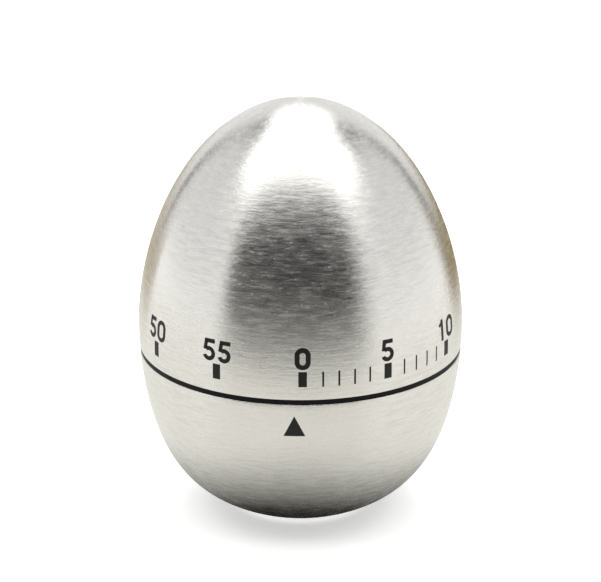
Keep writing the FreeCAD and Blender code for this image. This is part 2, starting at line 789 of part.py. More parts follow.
def pallet(label, x, y, bearing, half_angle, reach, bore):
    """A forked lever above a pointed wheel. Each of its two arms holds a pin."""
    level = "plate_top + escape_wheel_level + wheel_thickness + lever_gap"
    parts = [cylinder(f"{bore} + 0.5", "lever_thickness", x, y, level)]
    pins = []
    holes = [cylinder(bore, "lever_thickness", x, y, level)]
    for side in ("-", "+"):
        turn = f"({bearing} + 180 {side} (90 - {half_angle}))"
        pin_x = f"{x} + {reach} * cos({turn})"
        pin_y = f"{y} + {reach} * sin({turn})"
        parts.append(box(reach, "lever_width", "lever_thickness", x, y, level, turn))
        parts.append(cylinder("lever_width / 2", "lever_thickness", pin_x, pin_y, level))
        holes.append(cylinder("pin_radius", "lever_thickness", pin_x, pin_y, level))
        pins.append(cylinder("pin_radius", "wheel_thickness + lever_gap + lever_thickness", pin_x, pin_y,
                             "plate_top + escape_wheel_level"))
    return cut(label, fuse(label + "_blank", *parts), *holes), pins


balance_arbor = arbor("balance_arbor", "balance_x", "balance_y")
pallet_lever, pins = pallet("pallet_lever", "balance_x", "balance_y", "pallet_bearing",
                            "pallet_half_angle", "pallet_reach", "arbor_radius")
pallet_pins = group("pallet_pins", *pins)
balance_z = "plate_top + balance_level"
weights = [
    cylinder("balance_weight_radius", "2 * wheel_thickness",
             f"balance_x {side} (balance_length / 2 - balance_weight_radius) * sin(pallet_bearing)",
             f"balance_y {other} (balance_length / 2 - balance_weight_radius) * cos(pallet_bearing)",
             balance_z)
    for side, other in (("+", "-"), ("-", "+"))
]
balance_bar = cut(
    "balance_bar",
    fuse(
        "balance_blank",
        box("balance_length - 2 * balance_weight_radius", "balance_width", "wheel_thickness",
            "balance_x", "balance_y", balance_z, "(pallet_bearing + 90)",
            "balance_weight_radius - balance_length / 2"),
        cylinder("2 * balance_width", "wheel_thickness", "balance_x", "balance_y", balance_z),
        *weights,
    ),
    cylinder("arbor_radius", "wheel_thickness", "balance_x", "balance_y", balance_z),
)

hammer_arbor = arbor(
    "hammer_arbor", "hammer_x", "hammer_y", "arm_level", "cam_bottom + cam_thickness",
    "hammer_arbor_radius", "hammer_pivot_radius",
)
hammer_pallet, pins = pallet("hammer_pallet", "hammer_x", "hammer_y", "hammer_bearing",
                             "hammer_half_angle", "hammer_reach", "hammer_arbor_radius")
hammer_pins = group("hammer_pins", *pins)
head_x = "hammer_x + hammer_arm_length * cos(hammer_arm_bearing)"
head_y = "hammer_y + hammer_arm_length * sin(hammer_arm_bearing)"
hammer_arm = cut(
    "hammer_arm",
    fuse(
        "hammer_arm_blank",
        box("hammer_arm_length", "hammer_arm_width", "hammer_arm_thickness", "hammer_x", "hammer_y",
            "arm_level", "hammer_arm_bearing"),
        cylinder("hammer_arm_width", "hammer_arm_thickness", "hammer_x", "hammer_y", "arm_level"),
        cylinder("hammer_head_radius", "hammer_arm_thickness", head_x, head_y, "arm_level"),
    ),
    cylinder("hammer_pivot_radius", "hammer_arm_thickness", "hammer_x", "hammer_y", "arm_level"),
)
hammer_head = cylinder("hammer_head_radius", "hammer_head_length", head_x, head_y,
                       "arm_level - hammer_head_length", "hammer_head")
hammer_head.Label = "hammer_head"
finger_z = "cam_bottom + running_clearance"
finger_thickness = "cam_thickness - 2 * running_clearance"
hammer_finger = cut(
    "hammer_finger",
    fuse(
        "finger_blank",
        box("finger_length", "finger_width - 0.1", finger_thickness, "hammer_x", "hammer_y", finger_z,
            "(finger_bearing)"),
        cylinder("hammer_arbor_radius + 0.5", finger_thickness, "hammer_x", "hammer_y", finger_z),
        cylinder("finger_tip_radius", finger_thickness, *around("tip_circle", "(tip_bearing)"), finger_z),
    ),
    cylinder("hammer_pivot_radius", finger_thickness, "hammer_x", "hammer_y", finger_z),
)

# --- spring drum ---

drum_gear = doc.addObject("Part::Feature", "drum_gear")
drum_gear.Shape = toothed(value("ring_module"), int(value("drum_teeth")), -0.5,
                          value("drum_gear_thickness"))
place(drum_gear, z="plate_top + drum_level")
drum_floor = "plate_top + drum_level + drum_gear_thickness"
drum_wall_ring = ring("drum_wall_ring", "drum_radius", "drum_radius - drum_wall", "drum_depth",
                      z=drum_floor)
spring_drum = cut(
    "spring_drum", fuse("drum_blank", drum_gear, drum_wall_ring),
    cylinder("main_radius + running_clearance", "drum_gear_thickness", z="plate_top + drum_level"),
)
drum_cover = ring("drum_cover", "drum_radius", "main_radius + running_clearance", "drum_cover_thickness",
                  z=f"{drum_floor} + drum_depth")


def spiral(start, end, coils, steps=24):
    """A smooth curve that winds from one radius out to another."""
    total = int(coils * steps)
    points = []
    for number in range(total + 1):
        angle = 2 * math.pi * number / steps
        radius = start + (end - start) * number / total
        points.append(FreeCAD.Vector(radius * math.cos(angle), radius * math.sin(angle), 0))
    curve = Part.BSplineCurve()
    curve.interpolate(points)
    return curve.toShape()


strip = value("spring_thickness")
first = value("spring_inner_radius")
last = value("drum_radius - drum_wall - spring_thickness")
coils = value("spring_coils")
inside = spiral(first, last, coils)
outside = spiral(first + strip, last + strip, coils)
ends = [Part.LineSegment(inside.valueAt(e), outside.valueAt(f)).toShape()
        for e, f in ((inside.FirstParameter, outside.FirstParameter),
                     (inside.LastParameter, outside.LastParameter))]
mainspring = doc.addObject("Part::Feature", "mainspring")
mainspring.Shape = Part.Face(Part.Wire([inside, ends[1], outside, ends[0]])).extrude(
    FreeCAD.Vector(0, 0, value("drum_depth - 2 * spring_end_gap"))
)
place(mainspring, z=f"{drum_floor} + spring_end_gap")

# --- write the parts ---

doc.recompute()
PARTS = (
    lower_shell, lower_housing, seam_ring, base_plate, foot_ring, base_screws, bell, bell_screw,
    bottom_plate, top_plate, plate_pillars, plate_nuts, movement_screws, stop_post,
    upper_shell, upper_liner, main_arbor, main_wheel, clutch_spring, cam_disc, stop_pin, arbor_circlip,
    second_arbor, second_wheel, second_pinion, third_arbor, third_wheel, third_pinion,
    escape_arbor, escape_wheel, escape_pinion, balance_arbor, pallet_lever, pallet_pins, balance_bar,
    spring_drum, drum_cover, mainspring, idler_arbor, idler_wheel, idler_pinion,
    star_arbor, star_wheel, star_pinion, hammer_arbor, hammer_pallet, hammer_pins, hammer_arm,
    hammer_head, hammer_finger,
)
for thing in doc.Objects:
    if "Invalid" in thing.State or "Error" in thing.State:
        raise RuntimeError(f"{thing.Label} did not recompute: {thing.State}")
for part in PARTS:
    if part.Shape.isNull() or not part.Shape.isValid():
        raise RuntimeError(f"{part.Label} has no valid shape")
    part.Shape.exportStep(f"parts/{part.Label}.step")
    print(part.Label, len(part.Shape.Solids), round(part.Shape.Volume, 3))
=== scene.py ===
# %% [markdown]
# # A brushed steel egg timer
# This lesson dresses a clockwork kitchen timer. The CAD model already holds every solid part:
# two steel shells, the black plastic inside them, a bell and a full spring movement. What is left
# for Blender is how things look: the brushed steel, the printed scale, the plastic, rubber and brass.
# Everything is in metres, and the middle of the underside is the origin.

# %% load the frame
import bpy
import bmesh
import math
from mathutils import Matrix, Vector


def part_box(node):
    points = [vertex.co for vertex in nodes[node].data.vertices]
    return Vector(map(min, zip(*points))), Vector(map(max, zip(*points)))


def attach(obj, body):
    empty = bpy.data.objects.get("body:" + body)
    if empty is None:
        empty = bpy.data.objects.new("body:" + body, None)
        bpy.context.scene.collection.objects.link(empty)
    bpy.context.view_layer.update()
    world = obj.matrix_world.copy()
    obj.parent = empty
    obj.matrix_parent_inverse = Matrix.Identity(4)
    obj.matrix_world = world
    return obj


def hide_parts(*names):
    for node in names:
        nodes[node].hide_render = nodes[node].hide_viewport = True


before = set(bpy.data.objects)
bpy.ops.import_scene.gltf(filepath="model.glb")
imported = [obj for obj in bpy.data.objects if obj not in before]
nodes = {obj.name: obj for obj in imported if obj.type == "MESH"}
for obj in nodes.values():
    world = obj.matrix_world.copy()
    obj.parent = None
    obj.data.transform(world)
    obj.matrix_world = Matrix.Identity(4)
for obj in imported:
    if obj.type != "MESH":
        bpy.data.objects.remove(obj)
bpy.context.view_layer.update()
MM = 0.001


# %% small helpers
def linear(hex_colour):
    """An sRGB hex colour as the linear colour that shaders use."""
    parts = [int(hex_colour[i:i + 2], 16) / 255 for i in (1, 3, 5)]
    return [p / 12.92 if p <= 0.04045 else ((p + 0.055) / 1.055) ** 2.4 for p in parts] + [1.0]


def node(tree, kind, settings=None, **links):
    """Add a node. Settings are its properties or socket values, and links are sockets to join."""
    made = tree.nodes.new(kind)
    for name, setting in (settings or {}).items():
        if hasattr(made, name):
            setattr(made, name, setting)
        else:
            made.inputs[name].default_value = setting
    for name, source in links.items():
        socket = int(name[1:]) if name[1:].isdigit() else name.replace("_", " ")
        tree.links.new(source, made.inputs[socket])
    return made


def material(name):
    """A new material with one Principled shader, and that shader."""
    made = bpy.data.materials.new(name)
    made.use_nodes = True
    shader = made.node_tree.nodes["Principled BSDF"]
    return made, made.node_tree, shader


def blend(tree, factor, dark, light):
    """A colour between a dark and a light one, as far as a factor says."""
    made = node(tree, "ShaderNodeMix", {"data_type": "RGBA"}, _0=factor)
    made.inputs[6].default_value = linear(dark)
    made.inputs[7].default_value = linear(light)
    return made.outputs[2]


def plug(tree, shader, shade, rough, bump):
    """Join a material's colour, roughness and bump to its shader."""
    tree.links.new(shade, shader.inputs["Base Color"])
    tree.links.new(rough.outputs["Result"], shader.inputs["Roughness"])
    tree.links.new(bump.outputs["Normal"], shader.inputs["Normal"])


def wear(names, made):
    """Give these CAD nodes a material."""
    for name in names:
        slots = nodes[name].data.materials
        slots.clear()
        slots.append(made)


# %% [markdown]
# ## Camera
# A product camera stands a little above the timer and looks slightly down on it, from 40 cm away
# with a long lens. The pointer is a touch left of the middle, because the camera stands a hand's
# breadth to the right of it.

# %% camera
camera_turn = math.radians(2.1)
camera_rise = math.radians(19.95)
camera_distance = 0.400
camera_aim = Vector((0, 0, 0.04114))
camera_side = Vector((math.sin(camera_turn) * math.cos(camera_rise),
                      -math.cos(camera_turn) * math.cos(camera_rise),
                      math.sin(camera_rise)))
bpy.ops.object.camera_add(location=camera_aim + camera_side * camera_distance)
camera = bpy.context.object
camera.rotation_euler = (-camera_side).to_track_quat("-Z", "Y").to_euler()
camera.data.sensor_width = 36
camera.data.lens = 129.5
camera.data.clip_start = 0.01
camera.data.clip_end = 20
bpy.context.scene.camera = camera
print("lens", camera.data.lens, "mm at", camera_distance, "m")

# %% [markdown]
# ## The two steel shells
# Each shell is spun from 0.5 mm stainless sheet over a former. The CAD solid has the right shape, but
# its triangles are large and uneven, and a brushed surface shows that in its reflections. So both
# shells are turned again here in the same outline: a Bezier curve is the outline, made a mesh and
# spun round Z in fine steps, and Solidify gives the sheet its thickness inwards. A small bevel
# softens the cut rim, as tumbling does on the real one.

# %% outline sizes
low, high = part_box("upper_shell")
top_level, upper_rim = high.z, low.z
lower_low, lower_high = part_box("lower_shell")
lower_rim, base_level = lower_high.z, lower_low.z
seam_radius = lower_high.x
seam_level = (upper_rim + lower_rim) / 2
egg_radius = 30.0 * MM
base_radius = 12.0 * MM
floor_width = 3 * MM
sheet = 0.5 * MM
rim_round = 0.12 * MM
STEPS_ROUND = 224
print("seam at", round(seam_level / MM, 2), "mm, top at", round(top_level / MM, 2), "mm")


# %% spin a shell
def deselect():
    """Leave edit mode and select nothing."""
    if bpy.context.object and bpy.context.object.mode == "EDIT":
        bpy.ops.object.mode_set(mode="OBJECT")
    bpy.ops.object.select_all(action="DESELECT")


def finished(piece, body):
    """Let a finished piece move with its body."""
    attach(piece, body)
    return piece


def bezier(name, poles, smooth):
    """A Bezier curve in the XZ plane from four poles, made a mesh."""
    deselect()
    bpy.ops.curve.primitive_bezier_curve_add()
    piece = bpy.context.object
    piece.name = name
    start, finish = piece.data.splines[0].bezier_points
    for point, spot, before, after in (
        (start, poles[0], poles[0], poles[1]),
        (finish, poles[3], poles[2], poles[3]),
    ):
        point.handle_left_type = point.handle_right_type = "FREE"
        point.co = (spot[0], 0, spot[1])
        point.handle_left = (before[0], 0, before[1])
        point.handle_right = (after[0], 0, after[1])
    piece.data.resolution_u = smooth
    bpy.ops.object.convert(target="MESH")
    return bpy.context.object


def spun_shell(name, poles, smooth, floor_edge=None):
    """Spin an outline round Z and thicken it inwards. A floor edge is how far in its floor runs."""
    piece = bezier(name, poles, smooth)
    bpy.ops.object.mode_set(mode="EDIT")
    bpy.ops.mesh.select_all(action="SELECT")
    if floor_edge is not None:
        bpy.ops.mesh.select_all(action="DESELECT")
        mesh = bmesh.from_edit_mesh(piece.data)
        mesh.verts.ensure_lookup_table()
        last = min(mesh.verts, key=lambda v: v.co.z * 10 + v.co.x)
        last.select = True
        bmesh.update_edit_mesh(piece.data)
        inwards = (floor_edge - last.co.x, 0, 0)
        bpy.ops.mesh.extrude_vertices_move(TRANSFORM_OT_translate={"value": inwards})
        bpy.ops.mesh.select_all(action="SELECT")
    bpy.ops.mesh.spin(steps=STEPS_ROUND, angle=2 * math.pi, center=(0, 0, 0), axis=(0, 0, 1))
    bpy.ops.mesh.select_all(action="SELECT")
    bpy.ops.mesh.remove_doubles(threshold=0.002 * MM)
    bpy.ops.mesh.normals_make_consistent(inside=False)
    bpy.ops.object.mode_set(mode="OBJECT")
    wall = piece.modifiers.new("sheet", "SOLIDIFY")
    wall.thickness = sheet
    wall.offset = -1
    bpy.ops.object.modifier_apply(modifier="sheet")
    rim = piece.modifiers.new("rim", "BEVEL")
    rim.width = rim_round
    rim.segments = 3
    rim.angle_limit = math.radians(50)
    bpy.ops.object.modifier_apply(modifier="rim")
    bpy.ops.object.shade_smooth_by_angle(angle=math.radians(40))
    return piece


upper_shell = spun_shell("dial_shell", (
    (seam_radius, upper_rim),
    (egg_radius * 1.045, seam_level + (top_level - seam_level) * 0.434),
    (egg_radius * 0.649, top_level),
    (0, top_level),
), 88)
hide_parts("upper_shell")
lower_shell = spun_shell("base_shell", (
    (seam_radius, lower_rim),
    (egg_radius * 0.935, seam_level * 0.2236),
    (egg_radius * 0.62, seam_level * 0.115),
    (base_radius, base_level),
), 64, floor_edge=base_radius - floor_width)
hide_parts("lower_shell")
for piece in (upper_shell, lower_shell):
    print(piece.name, "has", 2 * len(piece.data.polygons), "triangles")

# %% [markdown]
# ## Brushed stainless steel
# Both shells are brushed while they turn in a lathe, so the scratches run round the egg. Such a
# surface mirrors its surroundings sharply along the scratches and smears them across. Anisotropy
# gives the smear, with its tangent round the Z axis. The scratches are a noise that is long round
# the egg and short up it: bump makes them sparkle, and the same noise stirs the roughness.

# %% brushed steel
STREAK = 0.7 * MM
STREAKS_ROUND = 7.0  # patterns in one radian round the egg
SCRATCH_DEPTH = 0.06 * MM
SMUDGE = 11 * MM


def brushed_steel(name, dark, light, streak):
    """Stainless steel with scratches round Z. A streak is the height of one bundle of scratches."""
    made, tree, shader = material(name)
    shader.inputs["Metallic"].default_value = 1.0
    shader.inputs["Anisotropic"].default_value = 0.95
    shader.inputs["Anisotropic Rotation"].default_value = 0.25
    place = node(tree, "ShaderNodeTexCoord")
    apart = node(tree, "ShaderNodeSeparateXYZ", Vector=place.outputs["Object"])
    angle = node(tree, "ShaderNodeMath", {"operation": "ARCTAN2"},
                 _0=apart.outputs["Y"], _1=apart.outputs["X"])
    wave = node(tree, "ShaderNodeMath", {"operation": "MULTIPLY"}, _0=angle.outputs["Value"])
    wave.inputs[1].default_value = STREAKS_ROUND
    up = node(tree, "ShaderNodeMath", {"operation": "DIVIDE"}, _0=apart.outputs["Z"])
    up.inputs[1].default_value = streak
    spot = node(tree, "ShaderNodeCombineXYZ", X=wave.outputs["Value"], Y=up.outputs["Value"])
    scratch = node(tree, "ShaderNodeTexNoise", {"Scale": 1.0, "Detail": 5.0, "Roughness": 0.75},
                   Vector=spot.outputs["Vector"])
    smudge = node(tree, "ShaderNodeTexNoise", {"Scale": 1 / SMUDGE, "Detail": 2.0},
                  Vector=place.outputs["Object"])
    both = node(tree, "ShaderNodeMath", {"operation": "MULTIPLY_ADD"}, _0=smudge.outputs["Fac"],
                _2=scratch.outputs["Fac"])
    both.inputs[1].default_value = 0.25
    rough = node(tree, "ShaderNodeMapRange", {"From Min": 0.42, "From Max": 0.83, "To Min": 0.16,
                                              "To Max": 0.31}, Value=both.outputs["Value"])
    spread = node(tree, "ShaderNodeMapRange", {"From Min": 0.3, "From Max": 0.7},
                  Value=scratch.outputs["Fac"])
    shade = blend(tree, spread.outputs["Result"], dark, light)
    bump = node(tree, "ShaderNodeBump", {"Strength": 1.0, "Distance": SCRATCH_DEPTH},
                Height=scratch.outputs["Fac"])
    tangent = node(tree, "ShaderNodeTangent", {"direction_type": "RADIAL", "axis": "Z"})
    plug(tree, shader, shade, rough, bump)
    tree.links.new(tangent.outputs["Tangent"], shader.inputs["Tangent"])
    return made


shell_steel = brushed_steel("brushed_stainless", "#D1CFCB", "#E7E5E1", STREAK)
for piece, body, slot in ((upper_shell, "dial", "upper_shell"), (lower_shell, "base", "lower_shell")):
    piece.data.materials.append(shell_steel)
    finished(piece, body)
print("streaks", STREAK / MM, "mm high")

# %% [markdown]
# ## The printed scale
# The numbers and marks are pad printed on the steel in black enamel ink. Each is drawn flat in front
# of the egg with a pen: a small plane as wide as the stroke, its leading edge extruded for a straight
# run and spun for a bend. The drawing is cut into narrow strips so that Shrinkwrap can lay it on the
# round steel. Solidify gives the ink a body of six thousandths of a millimetre, and the number is
# then turned round Z to its minute.

# %% the pen
INK = 0.006 * MM
PAGE = -36 * MM  # the drawing plane, in front of the egg
STRIP = 0.4  # millimetres, as all the pen's sizes are


class Pen:
    """Draws strokes in the XZ plane as the front sees them. Its sizes are in millimetres."""

    def __init__(self, name):
        deselect()
        bpy.ops.mesh.primitive_plane_add(size=1)
        self.piece = bpy.context.object
        self.piece.name = name
        bpy.ops.object.mode_set(mode="EDIT")
        bpy.ops.mesh.delete(type="VERT")

    def stroke(self, x, z, heading, width, moves):
        """Draw from x, z along a heading in degrees. A move is a length, or a bend's radius and turn."""
        angle = math.radians(heading)
        spot = Vector((x * MM, PAGE, z * MM))
        bpy.ops.mesh.select_all(action="DESELECT")
        first = 0.02 if isinstance(moves[0], tuple) else moves[0]
        ahead, across = self.directions(angle)
        bpy.ops.mesh.primitive_plane_add(size=1)
        mesh = bmesh.from_edit_mesh(self.piece.data)
        for vert in [v for v in mesh.verts if v.select]:
            forward = vert.co.x > 0
            vert.co = (spot + ahead * (first * MM if forward else 0)
                       + across * math.copysign(width * MM / 2, vert.co.y))
            vert.select = forward
        mesh.select_flush(False)
        bmesh.update_edit_mesh(self.piece.data)
        spot = spot + ahead * first * MM
        for move in moves if isinstance(moves[0], tuple) else moves[1:]:
            if isinstance(move, tuple):
                radius, turn = move
                side = math.copysign(1, turn)
                centre = spot + across * side * radius * MM
                bpy.ops.mesh.spin(steps=max(4, round(abs(turn) / 9)), angle=math.radians(abs(turn)),
                                  center=centre, axis=(0, side, 0))
                angle += math.radians(turn)
                ahead, across = self.directions(angle)
                spot = centre - across * side * radius * MM
            else:
                bpy.ops.mesh.extrude_edges_move(TRANSFORM_OT_translate={"value": ahead * move * MM})
                spot = spot + ahead * move * MM

    def directions(self, angle):
        """Ahead and to the left, for a heading in radians."""
        ahead = Vector((math.cos(angle), 0, math.sin(angle)))
        return ahead, Vector((-ahead.z, 0, ahead.x))

    def triangle(self, x, z, width, height):
        """A filled triangle that stands on z and points up."""
        bpy.ops.mesh.primitive_circle_add(vertices=3, radius=1, fill_type="NGON")
        mesh = bmesh.from_edit_mesh(self.piece.data)
        chosen = [v for v in mesh.verts if v.select]
        for vert in chosen:
            across, up = vert.co.x / math.sqrt(3), (vert.co.y + 0.5) / 1.5
            vert.co = Vector(((x + across * width) * MM, PAGE, (z + up * height) * MM))
        bmesh.update_edit_mesh(self.piece.data)

    def cut(self, plane, start, finish):
        """Cut the drawing at every strip between two places along X or Z."""
        for number in range(round(start / STRIP), round(finish / STRIP) + 1):
            bpy.ops.mesh.select_all(action="SELECT")
            bpy.ops.mesh.bisect(plane_co=Vector(plane) * number * STRIP * MM, plane_no=plane)

    def lay(self, shell, low, high):
        """Lay a drawing between two levels on a shell, and give the ink its thickness."""
        self.cut((1, 0, 0), -4, 4)
        self.cut((0, 0, 1), low, high)
        bpy.ops.mesh.select_all(action="SELECT")
        bpy.ops.mesh.remove_doubles(threshold=0.001 * MM)
        bpy.ops.mesh.select_all(action="DESELECT")
        mesh = bmesh.from_edit_mesh(self.piece.data)
        mesh.normal_update()
        for face in mesh.faces:
            face.select_set(face.normal.y > 0)
        bmesh.update_edit_mesh(self.piece.data)
        bpy.ops.mesh.flip_normals()
        bpy.ops.object.mode_set(mode="OBJECT")
        lay = self.piece.modifiers.new("lay", "SHRINKWRAP")
        lay.target = shell
        lay.wrap_method = "PROJECT"
        lay.use_project_x = lay.use_project_z = False
        lay.use_project_y = lay.use_positive_direction = True
        lay.use_negative_direction = False
        bpy.ops.object.modifier_apply(modifier="lay")
        ink = self.piece.modifiers.new("ink", "SOLIDIFY")
        ink.thickness = INK
        ink.offset = 1
        bpy.ops.object.modifier_apply(modifier="ink")
        return self.piece


print("ink is", INK / MM, "mm thick")


# %% the digits
def turn_round(piece, degrees):
    """Turn a piece round Z and keep the turn in its mesh."""
    deselect()
    piece.select_set(True)
    bpy.context.view_layer.objects.active = piece
    piece.rotation_euler.z = math.radians(degrees)
    bpy.ops.object.transform_apply(rotation=True)


DIGIT_HEIGHT = 4.0
DIGIT_WIDTH = 2.8
DIGIT_GAP = 0.28


def draw(pen, digit, x, z, s):
    """Draw one digit with its lower left corner at x, z and strokes s wide."""
    w, h = DIGIT_WIDTH, DIGIT_HEIGHT
    r = (w - s) / 2
    if digit == "0":
        side = h - s - 2 * r
        pen.stroke(x + w - s / 2, z + h / 2, 90, s, [side / 2, (r, 180), side, (r, 180), side / 2])
    elif digit == "1":
        pen.stroke(x + 1.55, z, 90, s, [h])
        pen.stroke(x + 1.62, z + h - 0.36, 218, s * 0.8, [1.3])
    elif digit == "2":
        top = z + h - s / 2 - r
        pen.stroke(x + w / 2 - r, top - 0.1, 90, s, [0.1, (r, -220)])
        pen.stroke(x + w / 2 + r * 0.766, top - r * 0.643, 230, s, [2.15])
        pen.stroke(x + 0.2, z + s / 2, 0, s, [w - 0.3])
    elif digit == "3":
        a = (h - s) / 4 - 0.05
        b = (h - s) / 2 - a
        middle = z + s / 2 + 2 * b
        pen.stroke(x + 1.25 - a * 0.94, middle + a + a * 0.34, 70, s, [(a, -250)])
        pen.stroke(x + 1.25, middle, 0, s, [(b, -250)])
    elif digit == "4":
        pen.stroke(x + 2.0, z, 90, s, [h])
        pen.stroke(x + 0.1, z + 1.15, 0, s, [2.7])
        pen.stroke(x + 1.85, z + h - 0.1, 238, s * 0.9, [3.2])
    elif digit == "5":
        b = (2.62 - s) / 2
        pen.stroke(x + 2.5, z + h - s / 2, 180, s, [2.0])
        pen.stroke(x + 0.80, z + h - 0.05, 262, s * 0.95, [2.0])
        pen.stroke(x + b + s / 2 - b * 0.643, z + s / 2 + b + b * 0.766, 40, s, [(b, -290)])


# %% the numbers round the dial
BASELINE = 37.45
ZERO_TURN = 2.8  # at rest the zero stands just past the pointer
marks = []
for minute in range(0, 60, 5):
    text = str(minute)
    pen = Pen("number_" + text)
    stroke = 0.88 if minute == 0 else 0.77
    start = -((DIGIT_WIDTH + DIGIT_GAP) * len(text) - DIGIT_GAP) / 2
    for number, digit in enumerate(text):
        draw(pen, digit, start + number * (DIGIT_WIDTH + DIGIT_GAP), BASELINE, stroke)
    piece = pen.lay(upper_shell, BASELINE, BASELINE + DIGIT_HEIGHT)
    turn_round(piece, ZERO_TURN + 6 * minute)
    marks.append(piece)
print("numbers:", len(marks))

# %% the minute marks
MARK_LEVEL, MARK_HEIGHT = 34.3, 2.8
SHORT_PITCH = 5.45  # degrees: the four short marks stand a little closer than a minute
for minute in sorted(set(range(0, 60, 5)) | set(range(1, 10))):
    large = minute % 5 == 0
    pen = Pen(f"mark_{minute}")
    pen.stroke(0, MARK_LEVEL, 90, 1.5 if large else 0.34, [MARK_HEIGHT])
    piece = pen.lay(upper_shell, MARK_LEVEL, MARK_LEVEL + MARK_HEIGHT)
    short_turn = 30 * (minute // 5) + 15 + (minute % 5 - 2.5) * SHORT_PITCH
    turn_round(piece, ZERO_TURN + (6 * minute if large else short_turn))
    marks.append(piece)

# %% the pointer
POINTER_BASE, POINTER_WIDTH, POINTER_HEIGHT = 24.7, 3.85, 4.0
pen = Pen("pointer")
pen.triangle(0, POINTER_BASE, POINTER_WIDTH, POINTER_HEIGHT)
pointer = pen.lay(lower_shell, POINTER_BASE, POINTER_BASE + POINTER_HEIGHT)
print("marks:", len(marks), "and the pointer")

# %% [markdown]
# ## Printing ink
# Enamel ink dries to a dull black film. It is thin enough that the brushing shows through as a faint
# ripple, and it has worn a little grey where fingers turn the dial.

# %% ink
ink, tree, shader = material("pad_print_enamel")
place = node(tree, "ShaderNodeTexCoord")
speck = node(tree, "ShaderNodeTexNoise", {"Scale": 1 / (0.4 * MM), "Detail": 3.0},
             Vector=place.outputs["Object"])
shader.inputs["Specular IOR Level"].default_value = 0.3
shade = blend(tree, speck.outputs["Fac"], "#070806", "#141512")
rough = node(tree, "ShaderNodeMapRange", {"To Min": 0.42, "To Max": 0.6}, Value=speck.outputs["Fac"])
bump = node(tree, "ShaderNodeBump", {"Strength": 0.2, "Distance": 0.01 * MM},
            Height=speck.outputs["Fac"])
plug(tree, shader, shade, rough, bump)

deselect()
for piece in marks:
    piece.select_set(True)
bpy.context.view_layer.objects.active = marks[0]
bpy.ops.object.join()
scale = bpy.context.object
scale.name = "dial_scale"
for piece, body, slot in ((scale, "dial", "upper_shell"), (pointer, "base", "lower_shell")):
    piece.data.materials.clear()
    piece.data.materials.append(ink)
    finished(piece, body)
print("ink triangles", sum(len(p.data.polygons) * 2 for p in (scale, pointer)))

# %% [markdown]
# ## Black plastic and rubber
# The housing, the dial's liner and the base plate are ABS, moulded in a spark-eroded tool, which
# leaves pits of about a quarter of a millimetre and a satin black. The seam ring is acetal, turned
# smooth and waxy. The foot is soft rubber: duller, greyer, and dusty where it meets the table. One
# function makes all three from the size of their pits, how deep those are and how far the gloss goes.


# %% plastic and rubber
def moulded(name, dark, light, rough, shine, pit, depth, cloud):
    """A moulded black material. Pit, depth and cloud are the sizes of its pattern in metres."""
    made, tree, shader = material(name)
    shader.inputs["Specular IOR Level"].default_value = shine
    place = node(tree, "ShaderNodeTexCoord")
    pits = node(tree, "ShaderNodeTexVoronoi", {"feature": "SMOOTH_F1", "Scale": 1 / pit},
                Vector=place.outputs["Object"])
    haze = node(tree, "ShaderNodeTexNoise", {"Scale": 1 / cloud, "Detail": 5.0, "Roughness": 0.65},
                Vector=place.outputs["Object"])
    shade = blend(tree, haze.outputs["Fac"], dark, light)
    gloss = node(tree, "ShaderNodeMapRange", {"To Min": rough - 0.1, "To Max": rough + 0.12},
                 Value=haze.outputs["Fac"])
    bump = node(tree, "ShaderNodeBump", {"Strength": 1.0, "Distance": depth},
                Height=pits.outputs["Distance"])
    plug(tree, shader, shade, gloss, bump)
    return made


ABS = ("moulded_abs", "#0F0F10", "#1D1D1F", 0.48, 0.5, 0.25 * MM, 0.02 * MM, 7 * MM)
ACETAL = ("turned_acetal", "#040404", "#080808", 0.5, 0.15, 0.1 * MM, 0.004 * MM, 4 * MM)
RUBBER = ("foot_rubber", "#161615", "#2C2B29", 0.72, 0.35, 0.18 * MM, 0.015 * MM, 2 * MM)
wear(("lower_housing", "upper_liner", "base_plate"), moulded(*ABS))
wear(("seam_ring",), moulded(*ACETAL))
wear(("foot_ring",), moulded(*RUBBER))
print("plastic and rubber on 5 nodes")

# %% [markdown]
# ## Metal of the movement
# A clockwork has few metals. The plates and wheels are stamped from rolled brass, and the rolling
# leaves fine straight lines. Arbors, pinions, pillars and screws are turned from steel, so their
# lines run round their own axis. The bell is pressed steel under bright nickel. Each turned piece
# gets its lines centred on itself: the noise reads the distance from its axis and the height.

# %% rolled sheet and turned metal
LINE_LENGTH, LINE_PITCH = 8 * MM, 0.15 * MM


def finish_metal(tree, shader, grain, dark, light, rough, depth):
    """Give a metal its shade, gloss and bump from one grain pattern."""
    shader.inputs["Metallic"].default_value = 1.0
    shade = blend(tree, grain.outputs["Fac"], dark, light)
    gloss = node(tree, "ShaderNodeMapRange", {"To Min": rough - 0.08, "To Max": rough + 0.12},
                 Value=grain.outputs["Fac"])
    bump = node(tree, "ShaderNodeBump", {"Strength": 1.0, "Distance": depth},
                Height=grain.outputs["Fac"])
    plug(tree, shader, shade, gloss, bump)


def rolled(name, dark, light, rough):
    """Rolled sheet: lines along X, 0.15 mm apart and several millimetres long."""
    made, tree, shader = material(name)
    place = node(tree, "ShaderNodeTexCoord")
    lines = node(tree, "ShaderNodeMapping",
                 {"Scale": (1 / LINE_LENGTH, 1 / LINE_PITCH, 1 / LINE_PITCH)},
                 Vector=place.outputs["Object"])
    grain = node(tree, "ShaderNodeTexNoise", {"Scale": 1.0, "Detail": 3.0},
                 Vector=lines.outputs["Vector"])
    finish_metal(tree, shader, grain, dark, light, rough, 0.006 * MM)
    return made


